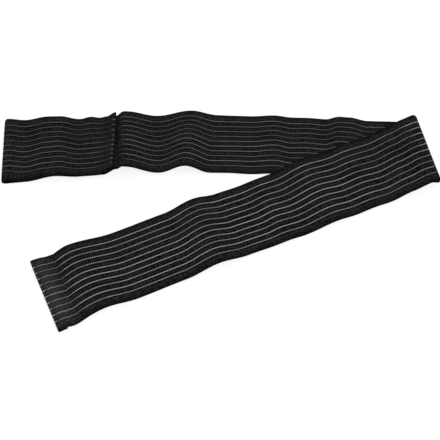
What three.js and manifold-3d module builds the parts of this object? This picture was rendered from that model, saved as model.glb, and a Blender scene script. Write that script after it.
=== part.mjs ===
// Ankle wrap: one long strip of woven elastic, lying loose on a flat surface. One end is turned back on
// the strip and sewn down as a foot loop, the strip is folded over itself once at the other side, and
// its free end carries a strip of hook tape underneath.
// Millimetres, +Z up. The origin is the bottom centre of the whole wrap, and +X runs along it from the
// foot loop to the fold. "Far" is the +Y edge of the strip, "near" the -Y edge.

import * as THREE from 'three';
import Module from 'manifold-3d';

// The cloth
const CLOTH = 1.3;                      // thickness of the woven elastic
const HEM = 7;                          // cloth turned under at each end
const SEW_GAP = 0.3;                    // clearance between the cloth and what is sewn to it

// The foot loop, turned back at the left
const LOOP_START = new THREE.Vector2(-172.55, 78.4);  // centre of the strip where the lower layer begins
const LOOP_RADIUS = 2.9;
const LOOP_ARC = Math.PI * LOOP_RADIUS;  // length of the cloth round the bend
const LOOP_BULGE = { far: 2.1, near: 4.5 };  // how far the bend reaches out
const LOOP_SKEW = -0.7;                 // how far the bend leans across the strip
const LOOP_LENGTH = 87.5;               // bend to sewn end
const LOOP_HEIGHT = { far: 6.6, near: 4.8, belly: 0 };
const SEAM_FROM_END = 4;                // stitched line behind the sewn end
const SEAM_WIDTH = 2;
const SEAM_SIDE_INSET = 0.04;           // share of the strip's width left unsewn at each side

// The fold over itself, at the right
const FOLD_AT = 342.5;
const FOLD_SKEW = 22.4;
const FOLD_SKEW_FADES = 120;            // distance past the fold in which the ripples turn square again
const FOLD_ARC = 12;
const FOLD_HEIGHT = { far: 11, near: 5.4, belly: 0 };
const FOLD_BULGE = { far: 4.7, near: 0.4 };

// The hook tape under the free end
const TAPE_LENGTH = 13;
const TAPE_FROM_END = 0.5;
const TAPE_SIDE_INSET = 0.035;          // share of the strip's width left bare at each side
const TAPE_THICKNESS = 1.2;
const ON_TAPE = TAPE_THICKNESS + SEW_GAP;
const ON_HEM = ON_TAPE + CLOTH;

// How finely the cloth is divided
const STEP = 4.5;
const ROW_STEPS = 3;
const BEND_STEPS = 10;
const CROSS_STEPS = 5;

// Course of the strip laid out flat, before its two folds: the heading of its centre line in degrees
// from +X, and its width, which is a little less where the elastic is pulled.
const COURSE = [
  { at: 0, heading: 5.8, width: 75.0 },
  { at: 20, heading: 5.8, width: 73.6 },
  { at: 84, heading: 6.0, width: 73.6 },
  { at: 94, heading: 5.2, width: 75.0 },
  { at: 165, heading: -0.6, width: 75.0 },
  { at: 230, heading: -3.8, width: 75.0 },
  { at: 345, heading: -4.5, width: 75.0 },
  { at: 415, heading: -4.5, width: 73.0 },
  { at: 645, heading: -4.6, width: 73.0 },
  { at: 665, heading: -5.5, width: 73.0 },
  { at: 680, heading: -9.0, width: 74.0 },
  { at: 692, heading: -9.0, width: 77.0 },
];

// Ripples of the cloth, a row for each crest, hollow or bend. "skew" is how much further along the near
// edge reaches the row than the far edge, "far" and "near" are the height of the cloth's underside over
// the surface at those edges, and "belly" is how far its middle lies above a straight line between them.

// Upper layer of the foot loop, from its sewn end to the bend
const LOOP_TOP = [
  { at: 0, skew: 5.6, far: 8.3, near: 10.4, belly: -3.2 },
  { at: 7.5, skew: 4, far: 4.0, near: 6.6, belly: -0.9 },
  { at: 12.5, skew: 3, far: 3.0, near: 4.8, belly: -0.3 },
  { at: 19.5, skew: 2, far: 4.5, near: 3.8, belly: -0.8 },
  { at: 28.5, skew: 2, far: 2.7, near: 3.7, belly: -0.5 },
  { at: 46.5, skew: 2, far: 6.8, near: 6.3, belly: 0.7 },
  { at: 55.5, skew: 2, far: 7.1, near: 5.5, belly: 0.5 },
  { at: 73.5, skew: 1, far: 4.5, near: 2.9, belly: -0.6 },
];

// Lower run, from the foot loop's bend to the fold
const UNDER_RUN = [
  { at: 14, skew: 0, far: 0, near: 0, belly: 0 },
  { at: 37, skew: 0, far: 0.2, near: 3.8, belly: -1.4 },
  { at: 56, skew: 0, far: 0.4, near: 1.7, belly: -0.4 },
  { at: 66, skew: 0, far: 0, near: 1.7, belly: -0.4 },
  { at: 78, skew: -4, far: 0.1, near: 2.0, belly: -0.6 },
  { at: 89, skew: -3, far: 2.8, near: 7.2, belly: -2.3 },
  { at: 94.5, skew: -5, far: 7.0, near: 9.7, belly: 0.8 },
  { at: 124, skew: -1, far: 0.7, near: 1.6, belly: -0.7 },
  { at: 148, skew: -5, far: 5.6, near: 8.2, belly: 1.5 },
  { at: 170, skew: -5, far: 0.9, near: 0.9, belly: -0.8 },
  { at: 182, skew: 0, far: 0.5, near: 0.9, belly: -0.6 },
  { at: 200, skew: 0, far: 0.3, near: 0.1, belly: -0.1 },
  { at: 220, skew: 3, far: 1.9, near: 1.5, belly: 0.9 },
  { at: 233, skew: 0, far: 0.4, near: 0.1, belly: -0.1 },
  { at: 246, skew: 0, far: 0.7, near: 0.3, belly: 0.5 },
  { at: 261, skew: 0, far: 0.1, near: 0, belly: 0 },
  { at: 273, skew: 0, far: 3.4, near: 0, belly: 2.2 },
  { at: 281, skew: 0, far: 3.1, near: 0, belly: 2.1 },
  { at: 296, skew: 0, far: 0.2, near: 0, belly: 0 },
  { at: 322, skew: 0, far: 0.8, near: 0, belly: 0 },
];

// Upper run, from the fold to the free end, which lies flat on the hook tape with its hem raised
const OVER_RUN = [
  { at: 9, skew: 0, far: 10.4, near: 5.8, belly: 0.4 },
  { at: 25, skew: 3, far: 8.4, near: 4.0, belly: -0.3 },
  { at: 46, skew: 11, far: 6.2, near: 1.1, belly: -0.6 },
  { at: 66, skew: 4, far: 7.3, near: 1.8, belly: 0.3 },
  { at: 82, skew: 7, far: 6.3, near: 1.2, belly: 0 },
  { at: 102, skew: 7, far: 7.8, near: 2.4, belly: 1.0 },
  { at: 131, skew: 9, far: 3.3, near: 0.2, belly: -0.1 },
  { at: 145, skew: 15, far: 3.3, near: 1.2, belly: 0.6 },
  { at: 160, skew: 6, far: 2.4, near: 1.0, belly: -0.9 },
  { at: 181, skew: 11, far: 3.0, near: 1.8, belly: -0.9 },
  { at: 205, skew: 16, far: 6.5, near: 4.9, belly: 0.7 },
  { at: 232, skew: 18, far: 2.0, near: 1.1, belly: -0.6 },
  { at: 274, skew: 14, far: 1.0, near: 0.2, belly: -0.3 },
  { at: 307, skew: 4, far: 5.3, near: 3.4, belly: 0.4 },
  { at: 325, skew: 18, far: 1.3, near: 1.4, belly: -1.0 },
  { at: 329.5, skew: 18, far: ON_TAPE, near: ON_TAPE, belly: 0 },
  { at: 336, skew: 18, far: ON_HEM, near: ON_HEM, belly: 0 },
  { at: 343, skew: 18, far: ON_HEM, near: ON_HEM, belly: 0 },
];

const { lerp, clamp, degToRad } = THREE.MathUtils;

// Value of a table's column at a station, straight between the rows and level past both ends.
function readColumn(table, at, column) {
  let next = 1;
  while (next < table.length - 1 && table[next].at < at) {
    next += 1;
  }
  const before = table[next - 1];
  const after = table[next];
  const share = clamp((at - before.at) / (after.at - before.at), 0, 1);
  return lerp(before[column], after[column], share);
}

// Rows of the whole strip in order, with the stations where each row meets the far and near edges.
function stripRows() {
  const row = (station, skew, heights, steps) => ({
    far: station - skew / 2,
    near: station + skew / 2,
    heights,
    steps,
  });
  const sewnEnd = -LOOP_ARC - LOOP_LENGTH;
  const foldArc = FOLD_ARC / Math.cos(Math.atan2(FOLD_SKEW, COURSE[0].width));
  const foldEnd = FOLD_AT + foldArc;
  const flat = { far: 0, near: 0, belly: 0 };
  const overSkew = (ripple) => ripple.skew + FOLD_SKEW * Math.max(0, 1 - ripple.at / FOLD_SKEW_FADES);
  return [
    ...LOOP_TOP.map((ripple) => row(sewnEnd + ripple.at, ripple.skew, ripple)),
    row(-LOOP_ARC, LOOP_SKEW, LOOP_HEIGHT, BEND_STEPS),
    row(0, LOOP_SKEW, flat),
    ...UNDER_RUN.map((ripple) => row(ripple.at, ripple.skew, ripple)),
    row(FOLD_AT, FOLD_SKEW, flat, BEND_STEPS),
    row(foldEnd, FOLD_SKEW, FOLD_HEIGHT),
    ...OVER_RUN.map((ripple) => row(foldEnd + ripple.at, overSkew(ripple), ripple)),
  ];
}

const ROWS = stripRows();
const FIRST_ROW = ROWS[0];
const LAST_ROW = ROWS[ROWS.length - 1];
const CREASE_ROW = ROWS[ROWS.length - 4];  // just before the hook tape begins

// Centre line of the flat strip at every whole millimetre, a little past both ends.
const CENTRE_MARGIN = 10;
const CENTRE_FIRST = Math.floor(FIRST_ROW.far) - CENTRE_MARGIN;
const CENTRE_LAST = Math.ceil(LAST_ROW.near) + CENTRE_MARGIN;

function layCentreLine() {
  const points = [new THREE.Vector2()];
  for (let station = CENTRE_FIRST; station < CENTRE_LAST; station += 1) {
    const heading = degToRad(readColumn(COURSE, station + 0.5, 'heading'));
    const step = new THREE.Vector2(Math.cos(heading), Math.sin(heading));
    points.push(step.add(points[points.length - 1]));
  }
  const shift = LOOP_START.clone().sub(points[-CENTRE_FIRST]);
  return points.map((point) => point.add(shift));
}

const CENTRE_LINE = layCentreLine();

// Plan of the flat strip. "across" runs from 0 at the far edge to 1 at the near edge.
function flatPoint(station, across) {
  const place = station - CENTRE_FIRST;
  const index = Math.floor(place);
  const centre = CENTRE_LINE[index].clone().lerp(CENTRE_LINE[index + 1], place - index);
  const heading = degToRad(readColumn(COURSE, station, 'heading'));
  const offset = readColumn(COURSE, station, 'width') * (0.5 - across);
  return centre.add(new THREE.Vector2(-Math.sin(heading), Math.cos(heading)).multiplyScalar(offset));
}

// Line across the flat strip where it is folded, with the direction of the cloth beyond it:
// side 1 folds what lies to its left, side -1 what lies to its right.
function foldLine(station, skew, side) {
  const far = flatPoint(station - skew / 2, 0);
  const near = flatPoint(station + skew / 2, 1);
  const along = far.sub(near).normalize();
  return { point: near, beyond: new THREE.Vector2(-along.y, along.x).multiplyScalar(side) };
}

const LOOP_LINE = foldLine(0, LOOP_SKEW, 1);
const OVER_LINE = foldLine(FOLD_AT, FOLD_SKEW, -1);

// Turns back the cloth beyond a fold line: round a bend first, then flat the other way.
function turnBack(point, line, arc, bulge) {
  const past = point.clone().sub(line.point).dot(line.beyond);
  if (past > 0) {
    const reach = past < arc ? bulge * Math.sin(Math.PI * past / arc) : arc - past;
    point.addScaledVector(line.beyond, reach - past);
  }
}

// Height of the cloth's underside, smoothly from row to row, with a crease just before the tape begins.
function heightAt(station, across) {
  const stationOf = (row) => lerp(row.far, row.near, across);
  const middling = 4 * across * (1 - across);
  const heightOf = ({ heights }) => lerp(heights.far, heights.near, across) + heights.belly * middling;
  let next = 1;
  while (next < ROWS.length - 1 && stationOf(ROWS[next]) < station) {
    next += 1;
  }
  const before = ROWS[next - 1];
  const after = ROWS[next];
  const share = (station - stationOf(before)) / (stationOf(after) - stationOf(before));
  const smooth = (1 - Math.cos(Math.PI * share)) / 2;
  const sharp = 1 - Math.cos(Math.PI * share / 2);
  return lerp(heightOf(before), heightOf(after), after === CREASE_ROW ? sharp : smooth);
}

// Middle of the cloth's thickness as the folded strip lies.
function layPoint(station, across) {
  const plan = flatPoint(station, across);
  turnBack(plan, LOOP_LINE, LOOP_ARC, lerp(LOOP_BULGE.far, LOOP_BULGE.near, across));
  turnBack(plan, OVER_LINE, FOLD_ARC, lerp(FOLD_BULGE.far, FOLD_BULGE.near, across));
  return new THREE.Vector3(plan.x, plan.y, heightAt(station, across) + CLOTH / 2);
}

// Pairs of far and near stations for every line across the strip, following the rows between them.
function crossLines() {
  const lines = [];
  for (let index = 0; index < ROWS.length - 1; index += 1) {
    const before = ROWS[index];
    const after = ROWS[index + 1];
    const length = Math.max(after.far - before.far, after.near - before.near);
    const steps = before.steps ?? Math.max(ROW_STEPS, Math.ceil(length / STEP));
    for (let step = 0; step < steps; step += 1) {
      const share = step / steps;
      lines.push({ far: lerp(before.far, after.far, share), near: lerp(before.near, after.near, share) });
    }
  }
  lines.push({ far: LAST_ROW.far, near: LAST_ROW.near });
  return lines;
}

// Even steps from the far edge to the near edge.
function crossShares() {
  return Array.from({ length: CROSS_STEPS + 1 }, (_, index) => index / CROSS_STEPS);
}

// Turns two grids of points, an upper and a lower side, into one closed body. Rows of both grids run
// from far to near, and row follows row towards +X where the upper side is on top.
function closedBody(upper, lower) {
  const columns = upper[0].length;
  const count = upper.length * columns;
  const points = [...upper.flat(), ...lower.flat()];
  const above = (row, column) => row * columns + column;
  const below = (row, column) => count + above(row, column);
  const triangles = [];
  for (let row = 0; row < upper.length - 1; row += 1) {
    for (let column = 0; column < columns - 1; column += 1) {
      const ring = [[row, column], [row, column + 1], [row + 1, column + 1], [row + 1, column]];
      const [a, b, c, d] = ring.map((corner) => above(...corner));
      const [e, f, g, h] = ring.map((corner) => below(...corner));
      triangles.push(a, b, c, a, c, d);
      triangles.push(e, g, f, e, h, g);
    }
  }
  const lastRow = upper.length - 1;
  const lastColumn = columns - 1;
  const rim = [];
  for (let column = 0; column < lastColumn; column += 1) {
    rim.push([0, column]);
  }
  for (let row = 0; row < lastRow; row += 1) {
    rim.push([row, lastColumn]);
  }
  for (let column = lastColumn; column > 0; column -= 1) {
    rim.push([lastRow, column]);
  }
  for (let row = lastRow; row > 0; row -= 1) {
    rim.push([row, 0]);
  }
  rim.forEach((corner, index) => {
    const following = rim[(index + 1) % rim.length];
    triangles.push(below(...corner), below(...following), above(...following));
    triangles.push(below(...corner), above(...following), above(...corner));
  });
  const geometry = new THREE.BufferGeometry();
  geometry.setFromPoints(points);
  geometry.setIndex(triangles);
  return geometry;
}

// The strip with its thickness, doubled where an end is turned under.
function stripBody() {
  const lines = crossLines();
  const shares = crossShares();
  const layAlong = (line) => shares.map((across) => layPoint(lerp(line.far, line.near, across), across));
  const middle = lines.map(layAlong);
  const face = (side) => lines.map((line, row) => shares.map((_, column) => {
    const nextRow = middle[Math.min(row + 1, lines.length - 1)];
    const lastRow = middle[Math.max(row - 1, 0)];
    const alongStrip = nextRow[column].clone().sub(lastRow[column]);
    const nextColumn = middle[row][Math.min(column + 1, CROSS_STEPS)];
    const lastColumn = middle[row][Math.max(column - 1, 0)];
    const normal = nextColumn.clone().sub(lastColumn).cross(alongStrip).normalize();
    const fromEnd = Math.min(line.far - FIRST_ROW.far, LAST_ROW.far - line.far);
    const hemmed = side > 0 && fromEnd < HEM + CLOTH / 2;
    const thickness = hemmed ? 3 * CLOTH / 2 : CLOTH / 2;
    return middle[row][column].clone().addScaledVector(normal, side * thickness);
  }));
  return closedBody(face(1), face(-1));
}

// The stitched line that closes the foot loop: it ties the hem of the sewn end to the layer below.
function seamBody() {
  const under = LOOP_LENGTH - SEAM_FROM_END;
  const inset = (share) => lerp(SEAM_SIDE_INSET, 1 - SEAM_SIDE_INSET, share);
  const shares = crossShares().map(inset);
  const sides = [1, -1].map((side) => side * SEAM_WIDTH / 2);
  const upper = sides.map((side) => shares.map((across) => {
    const atEnd = lerp(FIRST_ROW.far, FIRST_ROW.near, across);
    return layPoint(atEnd + SEAM_FROM_END + side, across);
  }));
  const lower = sides.map((side, row) => shares.map((across, column) => {
    const plan = upper[row][column];
    return new THREE.Vector3(plan.x, plan.y, heightAt(under - side, across) + CLOTH / 2);
  }));
  return closedBody(upper, lower);
}

// The flat strip of hook tape, laid along the free end.
function tapeBody() {
  const corner = (fromEnd, across) => {
    const point = layPoint(lerp(LAST_ROW.far, LAST_ROW.near, across) - fromEnd, across);
    return new THREE.Vector2(point.x, point.y);
  };
  const inner = TAPE_FROM_END + TAPE_LENGTH;
  const outline = new THREE.Shape([
    corner(TAPE_FROM_END, TAPE_SIDE_INSET),
    corner(TAPE_FROM_END, 1 - TAPE_SIDE_INSET),
    corner(inner, 1 - TAPE_SIDE_INSET),
    corner(inner, TAPE_SIDE_INSET),
  ]);
  return new THREE.ExtrudeGeometry(outline, { depth: TAPE_THICKNESS, bevelEnabled: false });
}

// Joins bodies that are sewn into one.
const wasm = await Module();
wasm.setup();

function fuse(...geometries) {
  const solids = geometries.map((geometry) => new wasm.Manifold(new wasm.Mesh({
    numProp: 3,
    vertProperties: new Float32Array(geometry.getAttribute('position').array),
    triVerts: new Uint32Array(geometry.getIndex().array),
  })));
  const mesh = solids.reduce((whole, solid) => whole.add(solid)).getMesh();
  const joined = new THREE.BufferGeometry();
  joined.setAttribute('position', new THREE.BufferAttribute(new Float32Array(mesh.vertProperties), 3));
  joined.setIndex(new THREE.BufferAttribute(new Uint32Array(mesh.triVerts), 1));
  joined.computeVertexNormals();
  return joined;
}

function namedMesh(name, geometry, color, roughness) {
  const mesh = new THREE.Mesh(geometry, new THREE.MeshStandardMaterial({ color, roughness, metalness: 0 }));
  mesh.name = name;
  return mesh;
}

const wrap = new THREE.Group();
wrap.add(namedMesh('elastic_band', fuse(stripBody(), seamBody()), 0x1b1b1d, 0.95));
wrap.add(namedMesh('hook_patch', tapeBody(), 0x0e0e10, 0.8));

export default wrap;
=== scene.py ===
import math

import bpy
import numpy as np
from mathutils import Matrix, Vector


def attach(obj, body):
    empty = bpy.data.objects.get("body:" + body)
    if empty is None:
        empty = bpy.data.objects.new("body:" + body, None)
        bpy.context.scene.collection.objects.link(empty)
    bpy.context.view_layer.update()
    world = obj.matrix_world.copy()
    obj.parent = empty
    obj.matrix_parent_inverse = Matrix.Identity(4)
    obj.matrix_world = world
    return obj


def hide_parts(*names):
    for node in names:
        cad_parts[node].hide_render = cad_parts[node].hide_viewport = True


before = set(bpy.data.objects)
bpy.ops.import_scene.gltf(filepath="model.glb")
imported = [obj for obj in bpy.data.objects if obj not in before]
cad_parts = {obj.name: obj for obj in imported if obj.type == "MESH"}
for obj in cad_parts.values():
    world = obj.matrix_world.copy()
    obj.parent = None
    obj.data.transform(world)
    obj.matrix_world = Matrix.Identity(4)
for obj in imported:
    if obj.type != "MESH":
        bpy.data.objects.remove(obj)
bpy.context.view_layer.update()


# The elastic band
# One strip of black woven elastic about 0.8 m long, made on a narrow loom with closed selvedges. It lies
# loose: the sewn end is turned back at the left as a foot loop, the strip is folded over itself once at
# the right, and both cut ends are turned under as narrow hems. "Far" is its +Y edge, "near" its -Y edge.

# Sizes and stations are in millimetres. Stations are measured along the strip from the foot loop's bend.
MM = 0.001
CLOTH = 1.3
FACE = CLOTH / 2
WIDTH = 75.0
HEM = 7.0
HEM_RADIUS = 0.66
RIB_PITCH = 1.7
RIB_RELIEF = 0.07
SELVEDGE_RELIEF = 0.12
SELVEDGE_REACH = 0.4

LOOP_START = (-172.55, 78.4)
LOOP_RADIUS = 2.9
LOOP_ARC = math.pi * LOOP_RADIUS
LOOP_SKEW = -0.7
LOOP_BULGE = (2.1, 4.5)
LOOP_LENGTH = 87.5
SEWN_END = -LOOP_ARC - LOOP_LENGTH

FOLD_AT = 342.5
FOLD_SKEW = 22.4
FOLD_SKEW_FADES = 120.0
FOLD_ARC = 12.0
FOLD_END = FOLD_AT + FOLD_ARC / math.cos(math.atan2(FOLD_SKEW, WIDTH))
FOLD_HEIGHT = (11.0, 5.4)
FOLD_BULGE = (4.7, 0.4)

TAPE_THICKNESS = 1.2
TAPE_GAP = 0.3
ON_TAPE = TAPE_THICKNESS + TAPE_GAP
ON_HEM = ON_TAPE + CLOTH

# Course of the flat strip: heading of its centre line in degrees from +X, and its width where it is pulled.
COURSE = np.array([
    (0, 5.8, 75.0),
    (20, 5.8, 73.6),
    (84, 6.0, 73.6),
    (94, 5.2, 75.0),
    (165, -0.6, 75.0),
    (230, -3.8, 75.0),
    (345, -4.5, 75.0),
    (415, -4.5, 73.0),
    (645, -4.6, 73.0),
    (665, -5.5, 73.0),
    (680, -9.0, 74.0),
    (692, -9.0, 77.0),
], dtype=[("at", float), ("heading", float), ("width", float)])

# Ripples, a row for each crest, hollow or bend: how much further along the near edge reaches it than the
# far edge, the height of the cloth's underside at both edges, and how far its middle lies above a
# straight line between them.
RIPPLE = [("at", float), ("skew", float), ("far", float), ("near", float), ("belly", float)]
LOOP_TOP = np.array([
    (0, 5.6, 8.3, 10.4, -3.2),
    (7.5, 4, 4.0, 6.6, -0.9),
    (12.5, 3, 3.0, 4.8, -0.3),
    (19.5, 2, 4.5, 3.8, -0.8),
    (28.5, 2, 2.7, 3.7, -0.5),
    (46.5, 2, 6.8, 6.3, 0.7),
    (55.5, 2, 7.1, 5.5, 0.5),
    (73.5, 1, 4.5, 2.9, -0.6),
], dtype=RIPPLE)
LOOP_HEIGHT = (6.6, 4.8)
UNDER_RUN = np.array([
    (14, 0, 0, 0, 0),
    (37, 0, 0.2, 3.8, -1.4),
    (56, 0, 0.4, 1.7, -0.4),
    (66, 0, 0, 1.7, -0.4),
    (78, -4, 0.1, 2.0, -0.6),
    (89, -3, 2.8, 7.2, -2.3),
    (94.5, -5, 7.0, 9.7, 0.8),
    (124, -1, 0.7, 1.6, -0.7),
    (148, -5, 5.6, 8.2, 1.5),
    (170, -5, 0.9, 0.9, -0.8),
    (182, 0, 0.5, 0.9, -0.6),
    (200, 0, 0.3, 0.1, -0.1),
    (220, 3, 1.9, 1.5, 0.9),
    (233, 0, 0.4, 0.1, -0.1),
    (246, 0, 0.7, 0.3, 0.5),
    (261, 0, 0.1, 0, 0),
    (273, 0, 3.4, 0, 2.2),
    (281, 0, 3.1, 0, 2.1),
    (296, 0, 0.2, 0, 0),
    (322, 0, 0.8, 0, 0),
], dtype=RIPPLE)
OVER_RUN = np.array([
    (9, 0, 10.4, 5.8, 0.4),
    (25, 3, 8.4, 4.0, -0.3),
    (46, 11, 6.2, 1.1, -0.6),
    (66, 4, 7.3, 1.8, 0.3),
    (82, 7, 6.3, 1.2, 0),
    (102, 7, 7.8, 2.4, 1.0),
    (131, 9, 3.3, 0.2, -0.1),
    (145, 15, 3.3, 1.2, 0.6),
    (160, 6, 2.4, 1.0, -0.9),
    (181, 11, 3.0, 1.8, -0.9),
    (205, 16, 6.5, 4.9, 0.7),
    (232, 18, 2.0, 1.1, -0.6),
    (274, 14, 1.0, 0.2, -0.3),
    (307, 4, 5.3, 3.4, 0.4),
    (325, 18, 1.3, 1.4, -1.0),
    (329.5, 18, ON_TAPE, ON_TAPE, 0),
    (336, 18, ON_HEM, ON_HEM, 0),
    (343, 18, ON_HEM, ON_HEM, 0),
], dtype=RIPPLE)


def lerp(start, end, share):
    """A share of the way from one value to another."""
    return start + (end - start) * share


def ripple_rows():
    """All ripples in order: the stations of their far and near ends, the heights there and the belly."""
    rows = []

    def add(station, skew, far, near, belly=0):
        rows.append((station - skew / 2, station + skew / 2, far, near, belly))

    for at, skew, *levels in LOOP_TOP.tolist():
        add(SEWN_END + at, skew, *levels)
    add(-LOOP_ARC, LOOP_SKEW, *LOOP_HEIGHT)
    add(0, LOOP_SKEW, 0, 0)
    for at, skew, *levels in UNDER_RUN.tolist():
        add(at, skew, *levels)
    add(FOLD_AT, FOLD_SKEW, 0, 0)
    add(FOLD_END, FOLD_SKEW, *FOLD_HEIGHT)
    for at, skew, *levels in OVER_RUN.tolist():
        fold_share = max(0, 1 - at / FOLD_SKEW_FADES)
        add(FOLD_END + at, skew + FOLD_SKEW * fold_share, *levels)
    return np.array(rows)


ROWS = ripple_rows()
ROWS_ON_TAPE = 3
CREASE_ROW = len(ROWS) - ROWS_ON_TAPE - 1
FREE_END = FOLD_END + OVER_RUN["at"][-1]
SPARE = (10, 20)
CENTRE_STATIONS = np.arange(math.floor(SEWN_END) - SPARE[0], math.ceil(FREE_END) + SPARE[1], dtype=float)


def centre_line():
    """Centre of the flat strip at every whole millimetre, with some to spare beyond both ends."""
    heading = np.radians(np.interp(CENTRE_STATIONS[:-1] + 0.5, COURSE["at"], COURSE["heading"]))
    steps = np.stack([np.cos(heading), np.sin(heading)], -1)
    points = np.concatenate([np.zeros((1, 2)), np.cumsum(steps, 0)])
    return points - points[CENTRE_STATIONS == 0] + LOOP_START


CENTRE_LINE = centre_line()


def flat_point(station, across):
    """Plan of the flat strip, with across from 0 at the far edge to 1 at the near edge."""
    centre = np.stack([np.interp(station, CENTRE_STATIONS, CENTRE_LINE[:, k]) for k in (0, 1)], -1)
    heading = np.radians(np.interp(station, COURSE["at"], COURSE["heading"]))
    offset = np.interp(station, COURSE["at"], COURSE["width"]) * (0.5 - across)
    left = np.stack([-np.sin(heading), np.cos(heading)], -1)
    return centre + left * offset[..., None]


def fold_line(station, skew, side):
    """A point on a fold across the flat strip, and the direction of the cloth beyond it."""
    far, near = flat_point(np.array([station - skew / 2, station + skew / 2]), np.array([0.0, 1.0]))
    along = (far - near) / np.linalg.norm(far - near)
    return near, np.array([-along[1], along[0]]) * side


LOOP_LINE = fold_line(0, LOOP_SKEW, 1)
OVER_LINE = fold_line(FOLD_AT, FOLD_SKEW, -1)


def turn_back(plan, line, arc, bulge):
    """Turns back the cloth beyond a fold: round a bend first, then flat the other way."""
    point, beyond = line
    past = (plan - point) @ beyond
    bend = bulge * np.sin(np.pi * np.clip(past / arc, 0, 1))
    reach = np.where(past < arc, bend, arc - past)
    return np.where(past[..., None] > 0, plan + (reach - past)[..., None] * beyond, plan)


# How far the near margin of the foot loop's upper layer hangs down towards the bend.
DROOP_FROM = 0.9
DROOP_STATIONS = (SEWN_END + 60, SEWN_END + 73, -LOOP_ARC, -LOOP_ARC / 2, 0)
DROOP = (0, 0.8, 2.6, 1.0, 0)


def height_at(station, across):
    """Height of the cloth's underside, smoothly from row to row, with a crease where the tape begins."""
    stations = lerp(ROWS[:, 0], ROWS[:, 1], across[..., None])
    before = np.sum(stations[..., 1:-1] < station[..., None], -1)
    middling = 4 * across * (1 - across)
    heights = [lerp(ROWS[row, 2], ROWS[row, 3], across) + ROWS[row, 4] * middling
               for row in (before, before + 1)]
    ends = [lerp(ROWS[row, 0], ROWS[row, 1], across) for row in (before, before + 1)]
    share = (station - ends[0]) / (ends[1] - ends[0])
    smooth = (1 - np.cos(np.pi * share)) / 2
    sharp = 1 - np.cos(np.pi / 2 * share)
    level = lerp(heights[0], heights[1], np.where(before + 1 == CREASE_ROW, sharp, smooth))
    margin = np.clip((across - DROOP_FROM) / (1 - DROOP_FROM), 0, 1)
    return level - np.interp(station, DROOP_STATIONS, DROOP) * margin ** 2


def lay(station, across):
    """Middle of the cloth's thickness as the folded strip lies."""
    plan = flat_point(station, across)
    plan = turn_back(plan, LOOP_LINE, LOOP_ARC, lerp(*LOOP_BULGE, across))
    plan = turn_back(plan, OVER_LINE, FOLD_ARC, lerp(*FOLD_BULGE, across))
    return np.concatenate([plan, (height_at(station, across) + FACE)[..., None]], -1)


def unit(vectors):
    """Vectors of the same directions, one long."""
    return vectors / np.linalg.norm(vectors, axis=-1, keepdims=True)


def cloth_frame(station, across):
    """Middle of the cloth, its direction along the strip and the normal of its inner face."""
    nudge = 0.3
    along = lay(station + nudge, across) - lay(station - nudge, across)
    side = lay(station, across + nudge / WIDTH) - lay(station, across - nudge / WIDTH)
    return lay(station, across), unit(along), unit(np.cross(side, along))


HEM_EDGE = HEM_RADIUS + FACE
HEM_TURN = math.pi * HEM_RADIUS


def strip_frame(reach, across):
    """Middle and inner normal of the cloth, followed round both turned-under ends."""
    first = lerp(ROWS[0, 0], ROWS[0, 1], across) + HEM_EDGE
    last = lerp(ROWS[-1, 0], ROWS[-1, 1], across) - HEM_EDGE
    station = np.clip(reach, first, last)
    past = reach - station
    turn = np.minimum(np.abs(past) / HEM_RADIUS, np.pi)[..., None]
    back = np.maximum(np.abs(past) - HEM_TURN, 0)
    middle, along, normal = cloth_frame(station - np.sign(past) * back, across)
    outward = along * np.sign(past)[..., None]
    middle = middle + HEM_RADIUS * (outward * np.sin(turn) + normal * (1 - np.cos(turn)))
    return middle, normal * np.cos(turn) - outward * np.sin(turn)


SKEW_FADES = 60.0
RUN_FIRST = SEWN_END + HEM_EDGE
RUN_LAST = FREE_END - HEM_EDGE
END_SKEWS = (LOOP_TOP["skew"][0], 0, 0, OVER_RUN["skew"][-1])
SKEW_STATIONS = (RUN_FIRST, RUN_FIRST + SKEW_FADES, RUN_LAST - SKEW_FADES, RUN_LAST)


def weft_reach(station, across):
    """Where a weft thread that crosses the centre line at a station lies at another place across."""
    return station + np.interp(station, SKEW_STATIONS, END_SKEWS) * (across - 0.5)


def strip_stations(step, bend_steps):
    """Stations along the strip, with closer ones round the two hem bends."""
    run = np.arange(RUN_FIRST, RUN_LAST, step)
    bend = np.linspace(0, HEM_TURN, bend_steps + 1)
    ply = np.arange(HEM_TURN + step, HEM_TURN + HEM, step)
    past = np.concatenate([bend, ply])
    return np.concatenate([RUN_FIRST - past[::-1], run[1:], RUN_LAST + past])


def rib_wave(station):
    """The ribs' rise and fall along the strip, level where the hems bend."""
    on_run = (station > RUN_FIRST) & (station < RUN_LAST)
    return np.cos(2 * np.pi * (station - RUN_FIRST) / RIB_PITCH) * on_run


def make_mesh(name, points, faces, edges=()):
    """A piece's object at the origin, from points in millimetres."""
    mesh = bpy.data.meshes.new(name)
    mesh.from_pydata((np.asarray(points) * MM).tolist(), edges, faces)
    mesh.update()
    piece = bpy.data.objects.new(name, mesh)
    bpy.context.scene.collection.objects.link(piece)
    return piece


def store(piece, name, values, kind="FLOAT"):
    """Keeps a value for each point of a piece as an attribute."""
    field = "vector" if kind == "FLOAT_VECTOR" else "value"
    data = piece.data.attributes.new(name, kind, "POINT").data
    data.foreach_set(field, np.ascontiguousarray(values, dtype=np.float32).ravel())


BAND_COLUMNS = 34
BAND_BEND_STEPS = 8
EDGE_ANGLES = np.radians([45, 0, -45])


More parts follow.
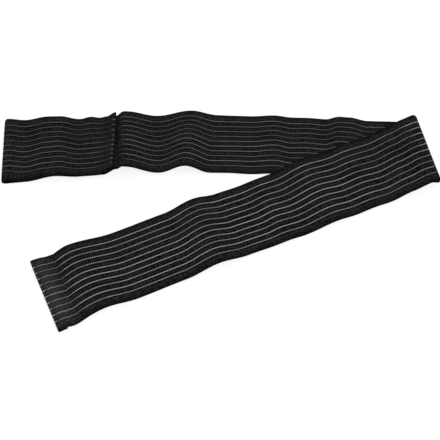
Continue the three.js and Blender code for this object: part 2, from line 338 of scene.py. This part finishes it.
def band_section():
    """Outline of the strip's cross-section: places across, share of the face's height, edge share."""
    edge = FACE / WIDTH
    flat = np.linspace(edge, 1 - edge, BAND_COLUMNS + 1)
    near = 1 - edge + edge * np.cos(EDGE_ANGLES)
    across = np.concatenate([flat, near, flat[::-1], 1 - near[::-1]])
    level = np.ones_like(flat)
    rise = np.concatenate([level, np.sin(EDGE_ANGLES), -level, np.sin(EDGE_ANGLES[::-1])])
    rounding = np.cos(EDGE_ANGLES)
    bulge = np.concatenate([0 * flat, rounding, 0 * flat, -rounding[::-1]])
    return across, rise, bulge


def weave_band():
    """The closed mesh of the strip, with its places along and across as attributes."""
    across, rise, bulge = band_section()
    stations = strip_stations(RIB_PITCH / 2, BAND_BEND_STEPS)
    wave = rib_wave(stations)[:, None]
    places = across + (SELVEDGE_REACH + wave * SELVEDGE_RELIEF) * bulge / WIDTH
    reach = weft_reach(stations[:, None], places)
    middle, inner = strip_frame(reach, places)
    offset = rise * (FACE + wave * RIB_RELIEF * (bulge == 0))
    points = middle + inner * offset[..., None]
    rows, ring = offset.shape
    index = np.arange(rows * ring).reshape(rows, ring)
    turned = np.roll(index, -1, 1)
    quads = np.stack([index[:-1], turned[:-1], turned[1:], index[1:]], -1).reshape(-1, 4)
    faces = quads.tolist() + [index[0, ::-1].tolist(), index[-1].tolist()]
    piece = make_mesh("elastic_band_cloth", points.reshape(-1, 3), faces)
    store(piece, "across_mm", np.broadcast_to(across * WIDTH, offset.shape))
    store(piece, "along_mm", np.broadcast_to(stations[:, None], offset.shape))
    piece.data.polygons.foreach_set("use_smooth", [True] * len(faces))
    return piece


def new_material(name, **sockets):
    """A material and its shader, with the values that are the same all over set on the shader."""
    material = bpy.data.materials.new(name)
    material.use_nodes = True
    shader = material.node_tree.nodes["Principled BSDF"]
    for socket, value in sockets.items():
        shader.inputs[socket.replace("_", " ")].default_value = value
    return material, shader


def value_of(tree, name):
    """Output of an attribute stored on the piece."""
    node = tree.nodes.new("ShaderNodeAttribute")
    node.attribute_name = name
    return node.outputs["Fac"]


def math_node(tree, operation, *values):
    """Output of one sum, from numbers and other outputs."""
    node = tree.nodes.new("ShaderNodeMath")
    node.operation = operation
    for socket, value in zip(node.inputs, values):
        if isinstance(value, bpy.types.NodeSocket):
            tree.links.new(value, socket)
        else:
            socket.default_value = value
    return node.outputs[0]


def product(tree, first, *others):
    """Output of several values multiplied together."""
    for other in others:
        first = math_node(tree, "MULTIPLY", first, other)
    return first


def span_node(tree, share, low, high):
    """Turns a share from 0 to 1 into a value from low to high."""
    return math_node(tree, "MULTIPLY_ADD", share, high - low, low)


def wave_node(tree, source, pitch):
    """A wave from 0 to 1 along a measured value."""
    angle = math_node(tree, "MULTIPLY", source, 2 * math.pi / pitch)
    return math_node(tree, "MULTIPLY_ADD", math_node(tree, "COSINE", angle), 0.5, 0.5)


def step_node(tree, source, start, end):
    """Rises smoothly from 0 to 1 between two values."""
    node = tree.nodes.new("ShaderNodeMapRange")
    node.interpolation_type = "SMOOTHSTEP"
    tree.links.new(source, node.inputs["Value"])
    node.inputs["From Min"].default_value = start
    node.inputs["From Max"].default_value = end
    return node.outputs["Result"]


def noise_node(tree, scale, detail=2.0):
    """Soft noise on the piece's own coordinates, in metres."""
    place = tree.nodes.new("ShaderNodeTexCoord").outputs["Object"]
    node = tree.nodes.new("ShaderNodeTexNoise")
    node.inputs["Scale"].default_value = scale
    node.inputs["Detail"].default_value = detail
    tree.links.new(place, node.inputs["Vector"])
    return node.outputs["Fac"]


# A Mix node has sockets of one name for numbers, vectors and colours, so the colours go by position.
MIX_COLOURS = (6, 7)
MIX_RESULT = 2


def mix_colours(tree, share, first, second):
    """One colour passing into another."""
    node = tree.nodes.new("ShaderNodeMix")
    node.data_type = "RGBA"
    tree.links.new(share, node.inputs["Factor"])
    for position, value in zip(MIX_COLOURS, (first, second)):
        if isinstance(value, bpy.types.NodeSocket):
            tree.links.new(value, node.inputs[position])
        else:
            node.inputs[position].default_value = (*value, 1)
    return node.outputs[MIX_RESULT]


def bump_to(tree, shader, height, distance):
    """Fine relief from a height between 0 and 1."""
    node = tree.nodes.new("ShaderNodeBump")
    node.inputs["Distance"].default_value = distance
    tree.links.new(height, node.inputs["Height"])
    tree.links.new(node.outputs["Normal"], shader.inputs["Normal"])


# The weave: its columns and ribs, deeper where the cloth is stretched and shallow along the margins, the
# floats that lie deeper than the rest, and the fibres.
# The hollows of the weave are painted darker in colour, as painted shade.
WARP_PITCH = 1.074
COLUMN_TONE = 0.5
PATCH_SCALE = 55
PATCH_DETAIL = 3.0
STRETCHED = (0.35, 0.65)
RIB_DEPTH = (0.3, 0.9)
PLAIN_MARGIN = (3.5, 6.5)
MARGIN_DEPTH = 0.1
FLOAT_TOP = (0, 0.25)
SUNK_FLOATS = (0.3, 0.55)
SUNK_FLOAT_SHADE = 0.05
FIBRE_SCALE = 2200
FIBRE_RELIEF = 0.5
CLOTH_BUMP = 0.25

# Painted shade in the grooves beside the yarns; the cloth is also darker towards the selvedges.
YARN_FIRST = 8.5
YARN_PITCH = 6.444
YARN_GROOVE_SHADE = (0.7, 2.9)
SELVEDGE = (0.3, 1.8)
SELVEDGE_TONE = 0.3

# The free end, which is flat and paler over the tape and darker along its hem.
TAPE_LENGTH = 13.0
END_ZONE = 22.0
END_MIDDLE = (-12.0, 18.0)
END_TONE = 0.27
END_FLATTENS = 0.75
HEM_SHADE = (4.5, 1.0)
HEM_DARKENS = 0.6

# BLACK_DEEP is the black that the painted shade of the weave's hollows and of the grooves beside the yarns,
# and the darker selvedges, go towards.
BLACK_DEEP = (0.0010, 0.0009, 0.0010)
BLACK_RAISED = (0.0262, 0.0245, 0.0251)
BLACK_ON_TAPE = (0.0760, 0.0760, 0.0815)


def float_noise(tree, along, across):
    """A random value for each float of the weave, where a rib crosses a column."""
    place = tree.nodes.new("ShaderNodeCombineXYZ")
    for socket, source, pitch in zip(place.inputs, (along, across), (RIB_PITCH, WARP_PITCH)):
        tree.links.new(math_node(tree, "ROUND", math_node(tree, "DIVIDE", source, pitch)), socket)
    node = tree.nodes.new("ShaderNodeTexWhiteNoise")
    node.noise_dimensions = "2D"
    tree.links.new(place.outputs["Vector"], node.inputs["Vector"])
    return node.outputs["Value"]


def woven_elastic():
    """Black cloth with ribs across and fine columns along, with painted shade in the weave's hollows and in
    the grooves beside the yarns, and darker towards the selvedges.
    """
    material, shader = new_material("woven_elastic_black", Roughness=0.9, Specular_IOR_Level=0.03)
    tree = material.node_tree
    along = value_of(tree, "along_mm")
    across = value_of(tree, "across_mm")
    edge = math_node(tree, "MINIMUM", across, math_node(tree, "SUBTRACT", WIDTH, across))
    patch = noise_node(tree, PATCH_SCALE, PATCH_DETAIL)
    fibre = noise_node(tree, FIBRE_SCALE)

    from_end = math_node(tree, "SUBTRACT", along, RUN_FIRST)
    rib = wave_node(tree, from_end, RIB_PITCH)
    warp = wave_node(tree, across, WARP_PITCH)
    stretched = span_node(tree, step_node(tree, patch, *STRETCHED), *RIB_DEPTH)
    depth = math_node(tree, "MULTIPLY_ADD", step_node(tree, edge, *PLAIN_MARGIN), stretched, MARGIN_DEPTH)
    # Painted shade: the colour darkens between the ribs, between the columns and on the floats that lie
    # deeper.
    gap = math_node(tree, "SUBTRACT", 1, rib)
    ribbed = math_node(tree, "SUBTRACT", 1, product(tree, gap, depth))
    weave = product(tree, ribbed, span_node(tree, warp, COLUMN_TONE, 1))
    top = step_node(tree, product(tree, rib, warp), *FLOAT_TOP)
    level = step_node(tree, float_noise(tree, from_end, across), *SUNK_FLOATS)
    sunk = product(tree, math_node(tree, "SUBTRACT", 1, level), top)
    sunk_float_shade = span_node(tree, sunk, 1, SUNK_FLOAT_SHADE)
    raised = product(tree, weave, sunk_float_shade, math_node(tree, "ADD", fibre, patch))

    from_yarn = math_node(tree, "PINGPONG", math_node(tree, "SUBTRACT", across, YARN_FIRST), YARN_PITCH / 2)
    # Painted shade beside each yarn, where it lies in a groove of the cloth, left off on the rib crests.
    yarn_groove_shade = math_node(tree, "MAXIMUM", step_node(tree, from_yarn, *YARN_GROOVE_SHADE), rib)
    inside = span_node(tree, step_node(tree, edge, *SELVEDGE), SELVEDGE_TONE, 1)
    tone = product(tree, raised, inside, yarn_groove_shade)

    stiff = step_node(tree, along, FREE_END - END_ZONE, FREE_END - TAPE_LENGTH / 2)
    hem_edge = step_node(tree, along, FREE_END - HEM_SHADE[0], FREE_END - HEM_SHADE[1])
    lit = math_node(tree, "SUBTRACT", stiff, product(tree, hem_edge, HEM_DARKENS))
    on_tape = product(tree, step_node(tree, edge, *END_MIDDLE), lit)
    flattened = product(tree, on_tape, math_node(tree, "SUBTRACT", END_TONE, tone))
    share = math_node(tree, "MULTIPLY_ADD", flattened, END_FLATTENS, tone)
    black = mix_colours(tree, on_tape, BLACK_RAISED, BLACK_ON_TAPE)
    tree.links.new(mix_colours(tree, share, BLACK_DEEP, black), shader.inputs["Base Color"])
    bump_to(tree, shader, math_node(tree, "MULTIPLY_ADD", fibre, FIBRE_RELIEF, weave), CLOTH_BUMP * MM)
    return material


band = weave_band()
band.data.materials.append(woven_elastic())
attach(band, "root")
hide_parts("elastic_band")


# The pale yarns
# Ten pale warp yarns run the whole length of the strip and show on both of its faces. Each one is a flat
# bundle woven over and under the ribs, and on the outer face it goes round the turned-under ends.

YARNS = 10
YARN_HALF_WIDTH = 0.44
YARN_HALF_HEIGHT = 0.26
YARN_SIDES = 5
YARN_WAVE = 0.06
YARN_SINK = 0.05
OUTER, INNER = -1, 1

# Steps along each yarn. The outer ones stop some steps before the cut edges inside the hems, and the
# inner ones a little before the hems' bends.
YARN_STEP = RIB_PITCH / 4
YARN_BEND_STEPS = 10
YARN_TRIM = 2
INNER_INSET = 2.0

# How bright each yarn is from the far edge to the near edge, and how bright they are painted along the strip
# on each
# face: painted light and shade, dimmer on the foot loop and in the shadow under its sewn end, with painted
# highlights on the fold and where the yarns turn round the hems.
YARN_SHADE = np.array([1.05, 0.75, 0.9, 0.7, 1.05, 1.3, 1.1, 0.85, 1.35, 0.8])
BRIGHT = [("at", float), ("share", float)]
OUTER_PAINTED_LIGHT = np.array([
    (RUN_FIRST - 0.9, 0.08),
    (RUN_FIRST - 0.3, 0.42),
    (RUN_FIRST + 0.5, 0.42),
    (RUN_FIRST + 1.1, 0.08),
    (SEWN_END + 8, 0.13),
    (SEWN_END + 15, 0.24),
    (SEWN_END + 35, 0.22),
    (SEWN_END + 50, 0.30),
    (-LOOP_ARC, 0.24),
    (0, 0.20),
    (FOLD_AT, 0.90),
    (FOLD_END - 1, 0.90),
    (FOLD_END + 6, 0.42),
    (FOLD_END + 45, 0.52),
    (FOLD_END + 75, 0.68),
    (FOLD_END + 130, 0.74),
    (FOLD_END + 170, 0.88),
    (FOLD_END + 200, 0.60),
    (FOLD_END + 230, 0.84),
    (FREE_END - 25, 0.86),
    (FREE_END - 20, 0.48),
    (FREE_END - 10, 0.52),
    (FREE_END - 5, 0.56),
    (FREE_END - 3.4, 0.28),
    (FREE_END - 2.2, 0.28),
    (RUN_LAST + 0.2, 0.95),
    (RUN_LAST + 1.6, 0.95),
    (RUN_LAST + 2.4, 0.40),
], dtype=BRIGHT)
# On the inner face the yarns are dimmest just past the sewn end of the foot loop: painted shadow under it.
INNER_PAINTED_LIGHT = np.array([
    (SEWN_END, 0.15),
    (LOOP_LENGTH, 0.08),
    (LOOP_LENGTH + 5, 0.10),
    (LOOP_LENGTH + 7, 0.18),
    (LOOP_LENGTH + 10, 0.36),
    (LOOP_LENGTH + 14, 0.34),
    (LOOP_LENGTH + 36, 0.26),
    (LOOP_LENGTH + 60, 0.31),
    (LOOP_LENGTH + 115, 0.36),
    (LOOP_LENGTH + 145, 0.31),
    (FOLD_AT, 0.36),
    (FREE_END, 0.30),
], dtype=BRIGHT)


def lines_on_cloth(name, points, outward):
    """Lines through rows of points on the cloth, with the way out of the cloth at each point."""
    index = np.arange(points[..., 0].size).reshape(points.shape[:2])
    edges = np.stack([index[:, :-1], index[:, 1:]], -1).reshape(-1, 2).tolist()
    piece = make_mesh(name, points.reshape(-1, 3), [], edges)
    store(piece, "lift", outward, "FLOAT_VECTOR")
    return piece


def yarn_paths(name, side, stations, bright):
    """The lines that the yarns follow on one face, with their rise over the ribs and their brightness,
    painted light and shade included.
    """
    across = (YARN_FIRST + YARN_PITCH * np.arange(YARNS))[:, None] / WIDTH
    places = np.broadcast_to(across, (YARNS, len(stations)))
    middle, inner = strip_frame(weft_reach(stations[None, :], places), places)
    piece = lines_on_cloth(name, middle + inner * side * FACE, inner * side)
    store(piece, "wave", np.broadcast_to(-rib_wave(stations), places.shape))
    store(piece, "bright", YARN_SHADE[:, None] * np.interp(stations, bright["at"], bright["share"]))
    return piece


def new_tree(name, **inputs):
    """A Geometry Nodes tree with named inputs, its input node and a way to add linked nodes."""
    tree = bpy.data.node_groups.new(name, "GeometryNodeTree")
    tree.is_modifier = True
    tree.interface.new_socket("Geometry", in_out="INPUT", socket_type="NodeSocketGeometry")
    for label, kind in inputs.items():
        tree.interface.new_socket(label, in_out="INPUT", socket_type="NodeSocket" + kind)
    tree.interface.new_socket("Geometry", in_out="OUTPUT", socket_type="NodeSocketGeometry")
    source = tree.nodes.new("NodeGroupInput").outputs

    def add(kind, settings=None, **links):
        node = tree.nodes.new(kind)
        for key, value in (settings or {}).items():
            setattr(node, key, value)
        for label, value in links.items():
            socket = node.inputs[label.replace("_", " ")]
            if isinstance(value, bpy.types.NodeSocket):
                tree.links.new(value, socket)
            else:
                socket.default_value = value
        return node.outputs

    return tree, source, add


def close_tree(tree, source, add, geometry):
    """Ends a tree: instances become real and take the piece's finish."""
    real = add("GeometryNodeRealizeInstances", Geometry=geometry)["Geometry"]
    finished = add("GeometryNodeSetMaterial", Geometry=real, Material=source["Finish"])["Geometry"]
    tree.links.new(finished, tree.nodes.new("NodeGroupOutput").inputs["Geometry"])
    return tree


def keep_result(piece, modifier):
    """Turns what a modifier gives into the piece's plain mesh."""
    evaluated = piece.evaluated_get(bpy.context.evaluated_depsgraph_get())
    mesh = bpy.data.meshes.new_from_object(evaluated)
    piece.modifiers.remove(modifier)
    piece.data = mesh
    return piece


def grow(piece, tree, **values):
    """Runs a tree on a piece and keeps the result."""
    modifier = piece.modifiers.new(tree.name, "NODES")
    modifier.node_group = tree
    for item in tree.interface.items_tree:
        if item.name in values:
            modifier[item.identifier] = values[item.name]
    return keep_result(piece, modifier)


def yarn_tree():
    """Flat yarns along the lines, rising and falling over the ribs."""
    tree, source, add = new_tree("woven_in_yarn", Half_Width="Float", Half_Height="Float", Wave="Float",
                                 Sink="Float", Sides="Int", Finish="Material")
    lift = add("GeometryNodeInputNamedAttribute", {"data_type": "FLOAT_VECTOR"}, Name="lift")["Attribute"]
    wave = add("GeometryNodeInputNamedAttribute", Name="wave")["Attribute"]
    curve = add("GeometryNodeMeshToCurve", Mesh=source["Geometry"])["Curve"]
    level = math_node(tree, "SUBTRACT", math_node(tree, "MULTIPLY", wave, source["Wave"]), source["Sink"])
    offset = add("ShaderNodeVectorMath", {"operation": "SCALE"}, Vector=lift, Scale=level)["Vector"]
    woven = add("GeometryNodeSetPosition", Geometry=curve, Offset=offset)["Geometry"]
    turned = add("GeometryNodeSetCurveNormal", {"mode": "FREE"}, Curve=woven, Normal=lift)["Curve"]
    ring = add("GeometryNodeCurvePrimitiveCircle", Resolution=source["Sides"], Radius=1.0)["Curve"]
    size = add("ShaderNodeCombineXYZ", X=source["Half_Height"], Y=source["Half_Width"], Z=1.0)["Vector"]
    profile = add("GeometryNodeTransform", Geometry=ring, Scale=size)["Geometry"]
    tube = add("GeometryNodeCurveToMesh", Curve=turned, Profile_Curve=profile, Fill_Caps=True)["Mesh"]
    smooth = add("GeometryNodeSetShadeSmooth", Geometry=tube)["Geometry"]
    return close_tree(tree, source, add, smooth)


SPUN_SCALE = 1400
WEAR_SCALE = 90
YARN_UNEVEN = (0.6, 1.4)
FLOAT_TONE = 0.95
FLOAT_BRIGHTER = 0.35
YARN_BUMP = 0.15
YARN_DIM = (0.0070, 0.0068, 0.0068)
YARN_PALE = (0.29, 0.286, 0.284)


def pale_yarn():
    """Pale spun yarn, dimmed where the weave closes over it, with painted light and shade from its brightness
    along the strip.
    """
    material, shader = new_material("pale_yarn", Roughness=0.85, Specular_IOR_Level=0.05)
    tree = material.node_tree
    fibre = noise_node(tree, SPUN_SCALE)
    spun = span_node(tree, fibre, *YARN_UNEVEN)
    worn = span_node(tree, noise_node(tree, WEAR_SCALE), *YARN_UNEVEN)
    floats = math_node(tree, "MULTIPLY_ADD", value_of(tree, "wave"), FLOAT_BRIGHTER, FLOAT_TONE)
    share = product(tree, value_of(tree, "bright"), spun, floats, worn)
    tree.links.new(mix_colours(tree, share, YARN_DIM, YARN_PALE), shader.inputs["Base Color"])
    bump_to(tree, shader, fibre, YARN_BUMP * MM)
    return material


pale_finish = pale_yarn()
yarn_nodes = yarn_tree()
outer_stations = strip_stations(YARN_STEP, YARN_BEND_STEPS)[YARN_TRIM:-YARN_TRIM]
inner_stations = np.arange(RUN_FIRST + INNER_INSET, RUN_LAST - INNER_INSET, YARN_STEP)
yarns = [
    yarn_paths("pale_yarns_outer", OUTER, outer_stations, OUTER_PAINTED_LIGHT),
    yarn_paths("pale_yarns_inner", INNER, inner_stations, INNER_PAINTED_LIGHT),
]
for yarn in yarns:
    grow(yarn, yarn_nodes, Half_Width=YARN_HALF_WIDTH * MM, Half_Height=YARN_HALF_HEIGHT * MM,
         Wave=YARN_WAVE * MM, Sink=YARN_SINK * MM, Sides=YARN_SIDES, Finish=pale_finish)
    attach(yarn, "root")


# The stitching
# Black sewing thread in lockstitch: two rows close the foot loop through both layers, one row holds the
# hem of the free end, and one goes along the inner edge of the hook tape. Each is pulled into the cloth.

STITCH_PITCH = 2.6
STITCH_HALF_LENGTH = 1.0
STITCH_HALF_WIDTH = 0.26
STITCH_SINK = 0.08
STITCH_INSET = 2.2
STITCH_LINE_POINTS = 40
SEAM_ROWS = (2.6, 5.2)
HEM_ROW = 5.6
TAPE_ROW_INSET = 1.0
TAPE_ROW = TAPE_LENGTH - TAPE_ROW_INSET


def stitch_rows():
    """The sewn lines, a little below the cloth's outer face."""
    lines = [SEWN_END + row for row in SEAM_ROWS] + [FREE_END - HEM_ROW, FREE_END - TAPE_ROW]
    stations = np.array(lines)[:, None]
    across = np.linspace(STITCH_INSET, WIDTH - STITCH_INSET, STITCH_LINE_POINTS)[None, :] / WIDTH
    stations, across = np.broadcast_arrays(stations, across)
    middle, inner = strip_frame(weft_reach(stations, across), across)
    outward = inner * OUTER
    return lines_on_cloth("stitching", middle + outward * (FACE - STITCH_SINK), outward)


def stitch_tree():
    """A short plump stitch at every pitch along the lines."""
    tree, source, add = new_tree("lockstitch", Pitch="Float", Half_Length="Float", Half_Width="Float",
                                 Finish="Material")
    lift = add("GeometryNodeInputNamedAttribute", {"data_type": "FLOAT_VECTOR"}, Name="lift")["Attribute"]
    curve = add("GeometryNodeMeshToCurve", Mesh=source["Geometry"])["Curve"]
    spaced = add("GeometryNodeCurveToPoints", {"mode": "LENGTH"}, Curve=curve, Length=source["Pitch"])
    turn = add("FunctionNodeAxesToRotation", {"primary_axis": "X", "secondary_axis": "Z"},
               Primary_Axis=spaced["Tangent"], Secondary_Axis=lift)["Rotation"]
    ball = add("GeometryNodeMeshUVSphere", Segments=8, Rings=5, Radius=1.0)["Mesh"]
    size = add("ShaderNodeCombineXYZ", X=source["Half_Length"], Y=source["Half_Width"],
               Z=source["Half_Width"])["Vector"]
    rounded = add("GeometryNodeSetShadeSmooth", Geometry=ball)["Geometry"]
    laid = add("GeometryNodeInstanceOnPoints", Points=spaced["Points"], Instance=rounded, Rotation=turn,
               Scale=size)["Instances"]
    return close_tree(tree, source, add, laid)


TWIST_SCALE = 3000
TWIST_BUMP = 0.1
THREAD_DARK = (0.004, 0.004, 0.004)
THREAD_LIGHT = (0.016, 0.016, 0.017)


def black_thread():
    """Twisted polyester thread with a slight gloss."""
    material, shader = new_material("black_thread", Roughness=0.6, Specular_IOR_Level=0.12)
    tree = material.node_tree
    twist = noise_node(tree, TWIST_SCALE)
    tree.links.new(mix_colours(tree, twist, THREAD_DARK, THREAD_LIGHT), shader.inputs["Base Color"])
    bump_to(tree, shader, twist, TWIST_BUMP * MM)
    return material


stitching = grow(stitch_rows(), stitch_tree(), Pitch=STITCH_PITCH * MM, Half_Length=STITCH_HALF_LENGTH * MM,
                 Half_Width=STITCH_HALF_WIDTH * MM, Finish=black_thread())
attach(stitching, "root")


# The hook tape
# A strip of black nylon hook tape under the free end, sewn on, that closes the wrap. It is a thin woven
# base with rows of stiff little hooks standing out of its lower face.

TAPE_FROM_END = 0.5
TAPE_SIDE_INSET = 0.035
TAPE_BASE = 0.5
TAPE_BEVEL = 0.2
HOOK_PITCH = 1.5
HOOK_MARGIN = 0.9
HOOK_HEIGHT = 0.66
HOOK_REACH = 0.34
HOOK_RADIUS = 0.09
HOOK_CROOK = -1.9
HOOK_TIP = -0.45
HOOK_TWIST = 0.4
HOOK_SEED = 7


def tape_point(from_end, across):
    """Plan of a place on the tape."""
    end = lerp(ROWS[-1, 0], ROWS[-1, 1], across)
    return lay(end - from_end, across)[..., :2]


def tape_base():
    """The tape's thin base, under the cloth."""
    inner = TAPE_FROM_END + TAPE_LENGTH
    from_end = np.array([TAPE_FROM_END, TAPE_FROM_END, inner, inner])
    across = np.array([TAPE_SIDE_INSET, 1 - TAPE_SIDE_INSET, 1 - TAPE_SIDE_INSET, TAPE_SIDE_INSET])
    plan = tape_point(from_end, across)
    levels = (TAPE_THICKNESS - TAPE_BASE, TAPE_THICKNESS)
    points = [(*corner, level) for level in levels for corner in plan]
    faces = [(3, 2, 1, 0), (4, 5, 6, 7)]
    faces += [(k, (k + 1) % 4, (k + 1) % 4 + 4, k + 4) for k in range(4)]
    piece = make_mesh("hook_tape_base", points, faces)
    bevel = piece.modifiers.new("worn_edges", "BEVEL")
    bevel.width = TAPE_BEVEL * MM
    bevel.segments = 2
    return keep_result(piece, bevel)


def hook_points():
    """Feet of the hooks, in even rows on the tape's lower face."""
    length = np.arange(HOOK_MARGIN, TAPE_LENGTH - HOOK_MARGIN, HOOK_PITCH)
    span = WIDTH * (1 - 2 * TAPE_SIDE_INSET)
    width = np.arange(HOOK_MARGIN, span - HOOK_MARGIN, HOOK_PITCH)
    from_end, across = np.meshgrid(TAPE_FROM_END + length, TAPE_SIDE_INSET + width / WIDTH, indexing="ij")
    plan = tape_point(from_end, across)
    level = np.full(from_end.shape + (1,), TAPE_THICKNESS - TAPE_BASE)
    return make_mesh("hook_tape_hooks", np.concatenate([plan, level], -1).reshape(-1, 3), [])


def hook_tree():
    """A bent nylon hook on every foot, each turned a little its own way."""
    tree, source, add = new_tree("hook_field", Height="Float", Reach="Float", Radius="Float", Seed="Int",
                                 Finish="Material")
    feet = add("GeometryNodeMeshToPoints", Mesh=source["Geometry"])["Points"]
    deep = math_node(tree, "MULTIPLY", source["Height"], HOOK_CROOK)
    low = math_node(tree, "MULTIPLY", source["Height"], HOOK_TIP)
    crook = add("ShaderNodeCombineXYZ", X=0.0, Y=0.0, Z=deep)["Vector"]
    tip = add("ShaderNodeCombineXYZ", X=source["Reach"], Y=0.0, Z=low)["Vector"]
    bend = add("GeometryNodeCurveQuadraticBezier", Resolution=6, Start=(0, 0, 0), Middle=crook,
               End=tip)["Curve"]
    wire = add("GeometryNodeCurvePrimitiveCircle", Resolution=4, Radius=source["Radius"])["Curve"]
    hook = add("GeometryNodeCurveToMesh", Curve=bend, Profile_Curve=wire, Fill_Caps=True)["Mesh"]
    spin = add("FunctionNodeRandomValue", {"data_type": "FLOAT_VECTOR"}, Min=(0, 0, -HOOK_TWIST),
               Max=(0, 0, HOOK_TWIST), Seed=source["Seed"])["Value"]
    turn = add("FunctionNodeEulerToRotation", Euler=spin)["Rotation"]
    field = add("GeometryNodeInstanceOnPoints", Points=feet, Instance=hook, Rotation=turn)["Instances"]
    return close_tree(tree, source, add, field)


CLOUD_SCALE = 900
CLOUD_BUMP = 0.1
NYLON_DARK = (0.005, 0.005, 0.006)
NYLON_LIGHT = (0.014, 0.014, 0.016)


def hook_nylon():
    """Black nylon, smooth and slightly glossy."""
    material, shader = new_material("hook_nylon", Roughness=0.42, Specular_IOR_Level=0.35)
    tree = material.node_tree
    cloud = noise_node(tree, CLOUD_SCALE)
    tree.links.new(mix_colours(tree, cloud, NYLON_DARK, NYLON_LIGHT), shader.inputs["Base Color"])
    bump_to(tree, shader, cloud, CLOUD_BUMP * MM)
    return material


nylon = hook_nylon()
tape = tape_base()
tape.data.materials.append(nylon)
hooks = grow(hook_points(), hook_tree(), Height=HOOK_HEIGHT * MM, Reach=HOOK_REACH * MM,
             Radius=HOOK_RADIUS * MM, Seed=HOOK_SEED, Finish=nylon)
for piece in (tape, hooks):
    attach(piece, "root")
    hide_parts("hook_patch")


# The floor, the light and the camera
# A plain white floor under soft studio light, seen from the front and above with a long lens.

FLOOR_LEVEL = -0.3
FLOOR_HALF = 3000.0
FLOOR_GREY = (0.16, 0.16, 0.16, 1)
WHITE = (1, 1, 1, 1)
FLOOR_GLOW = 0.85
STUDIO_GLOW = 0.85
AIM = Vector((1.55, -3.2, 0.0)) * MM
CAMERA_ELEVATION = math.radians(41.5)
CAMERA_DISTANCE = 1254.5 * MM
IMAGE_SIDE = 440
FOCAL_PIXELS = 1600
SENSOR = 36.0

corners = [(x * FLOOR_HALF, y * FLOOR_HALF, FLOOR_LEVEL) for x, y in ((-1, -1), (1, -1), (1, 1), (-1, 1))]
floor = make_mesh("floor", corners, [(0, 1, 2, 3)])
floor_finish, _ = new_material("white_floor", Base_Color=FLOOR_GREY, Roughness=0.9, Specular_IOR_Level=0.1,
                               Emission_Color=WHITE, Emission_Strength=FLOOR_GLOW)
floor.data.materials.append(floor_finish)

world = bpy.data.worlds.new("studio")
world.use_nodes = True
world.node_tree.nodes["Background"].inputs["Color"].default_value = WHITE
world.node_tree.nodes["Background"].inputs["Strength"].default_value = STUDIO_GLOW
bpy.context.scene.world = world
bpy.context.scene.view_settings.view_transform = "Standard"


def soft_light(name, place, size, power):
    """A square lamp facing the middle of the wrap, with its place and size in metres."""
    data = bpy.data.lights.new(name, "AREA")
    data.size = size
    data.energy = power
    lamp = bpy.data.objects.new(name, data)
    lamp.location = place
    lamp.rotation_euler = (AIM - Vector(place)).to_track_quat("-Z", "Y").to_euler()
    bpy.context.scene.collection.objects.link(lamp)


soft_light("front_right_lamp", place=(0.7, -0.9, 1.3), size=0.9, power=14)
soft_light("back_left_lamp", place=(-0.9, 0.8, 1.4), size=1.2, power=6)

camera_data = bpy.data.cameras.new("camera")
camera_data.sensor_width = SENSOR
camera_data.lens = SENSOR * FOCAL_PIXELS / IMAGE_SIDE
camera = bpy.data.objects.new("camera", camera_data)
back = Vector((0, -math.cos(CAMERA_ELEVATION), math.sin(CAMERA_ELEVATION)))
camera.location = AIM + back * CAMERA_DISTANCE
camera.rotation_euler = (math.pi / 2 - CAMERA_ELEVATION, 0, 0)
bpy.context.scene.collection.objects.link(camera)
bpy.context.scene.camera = camera
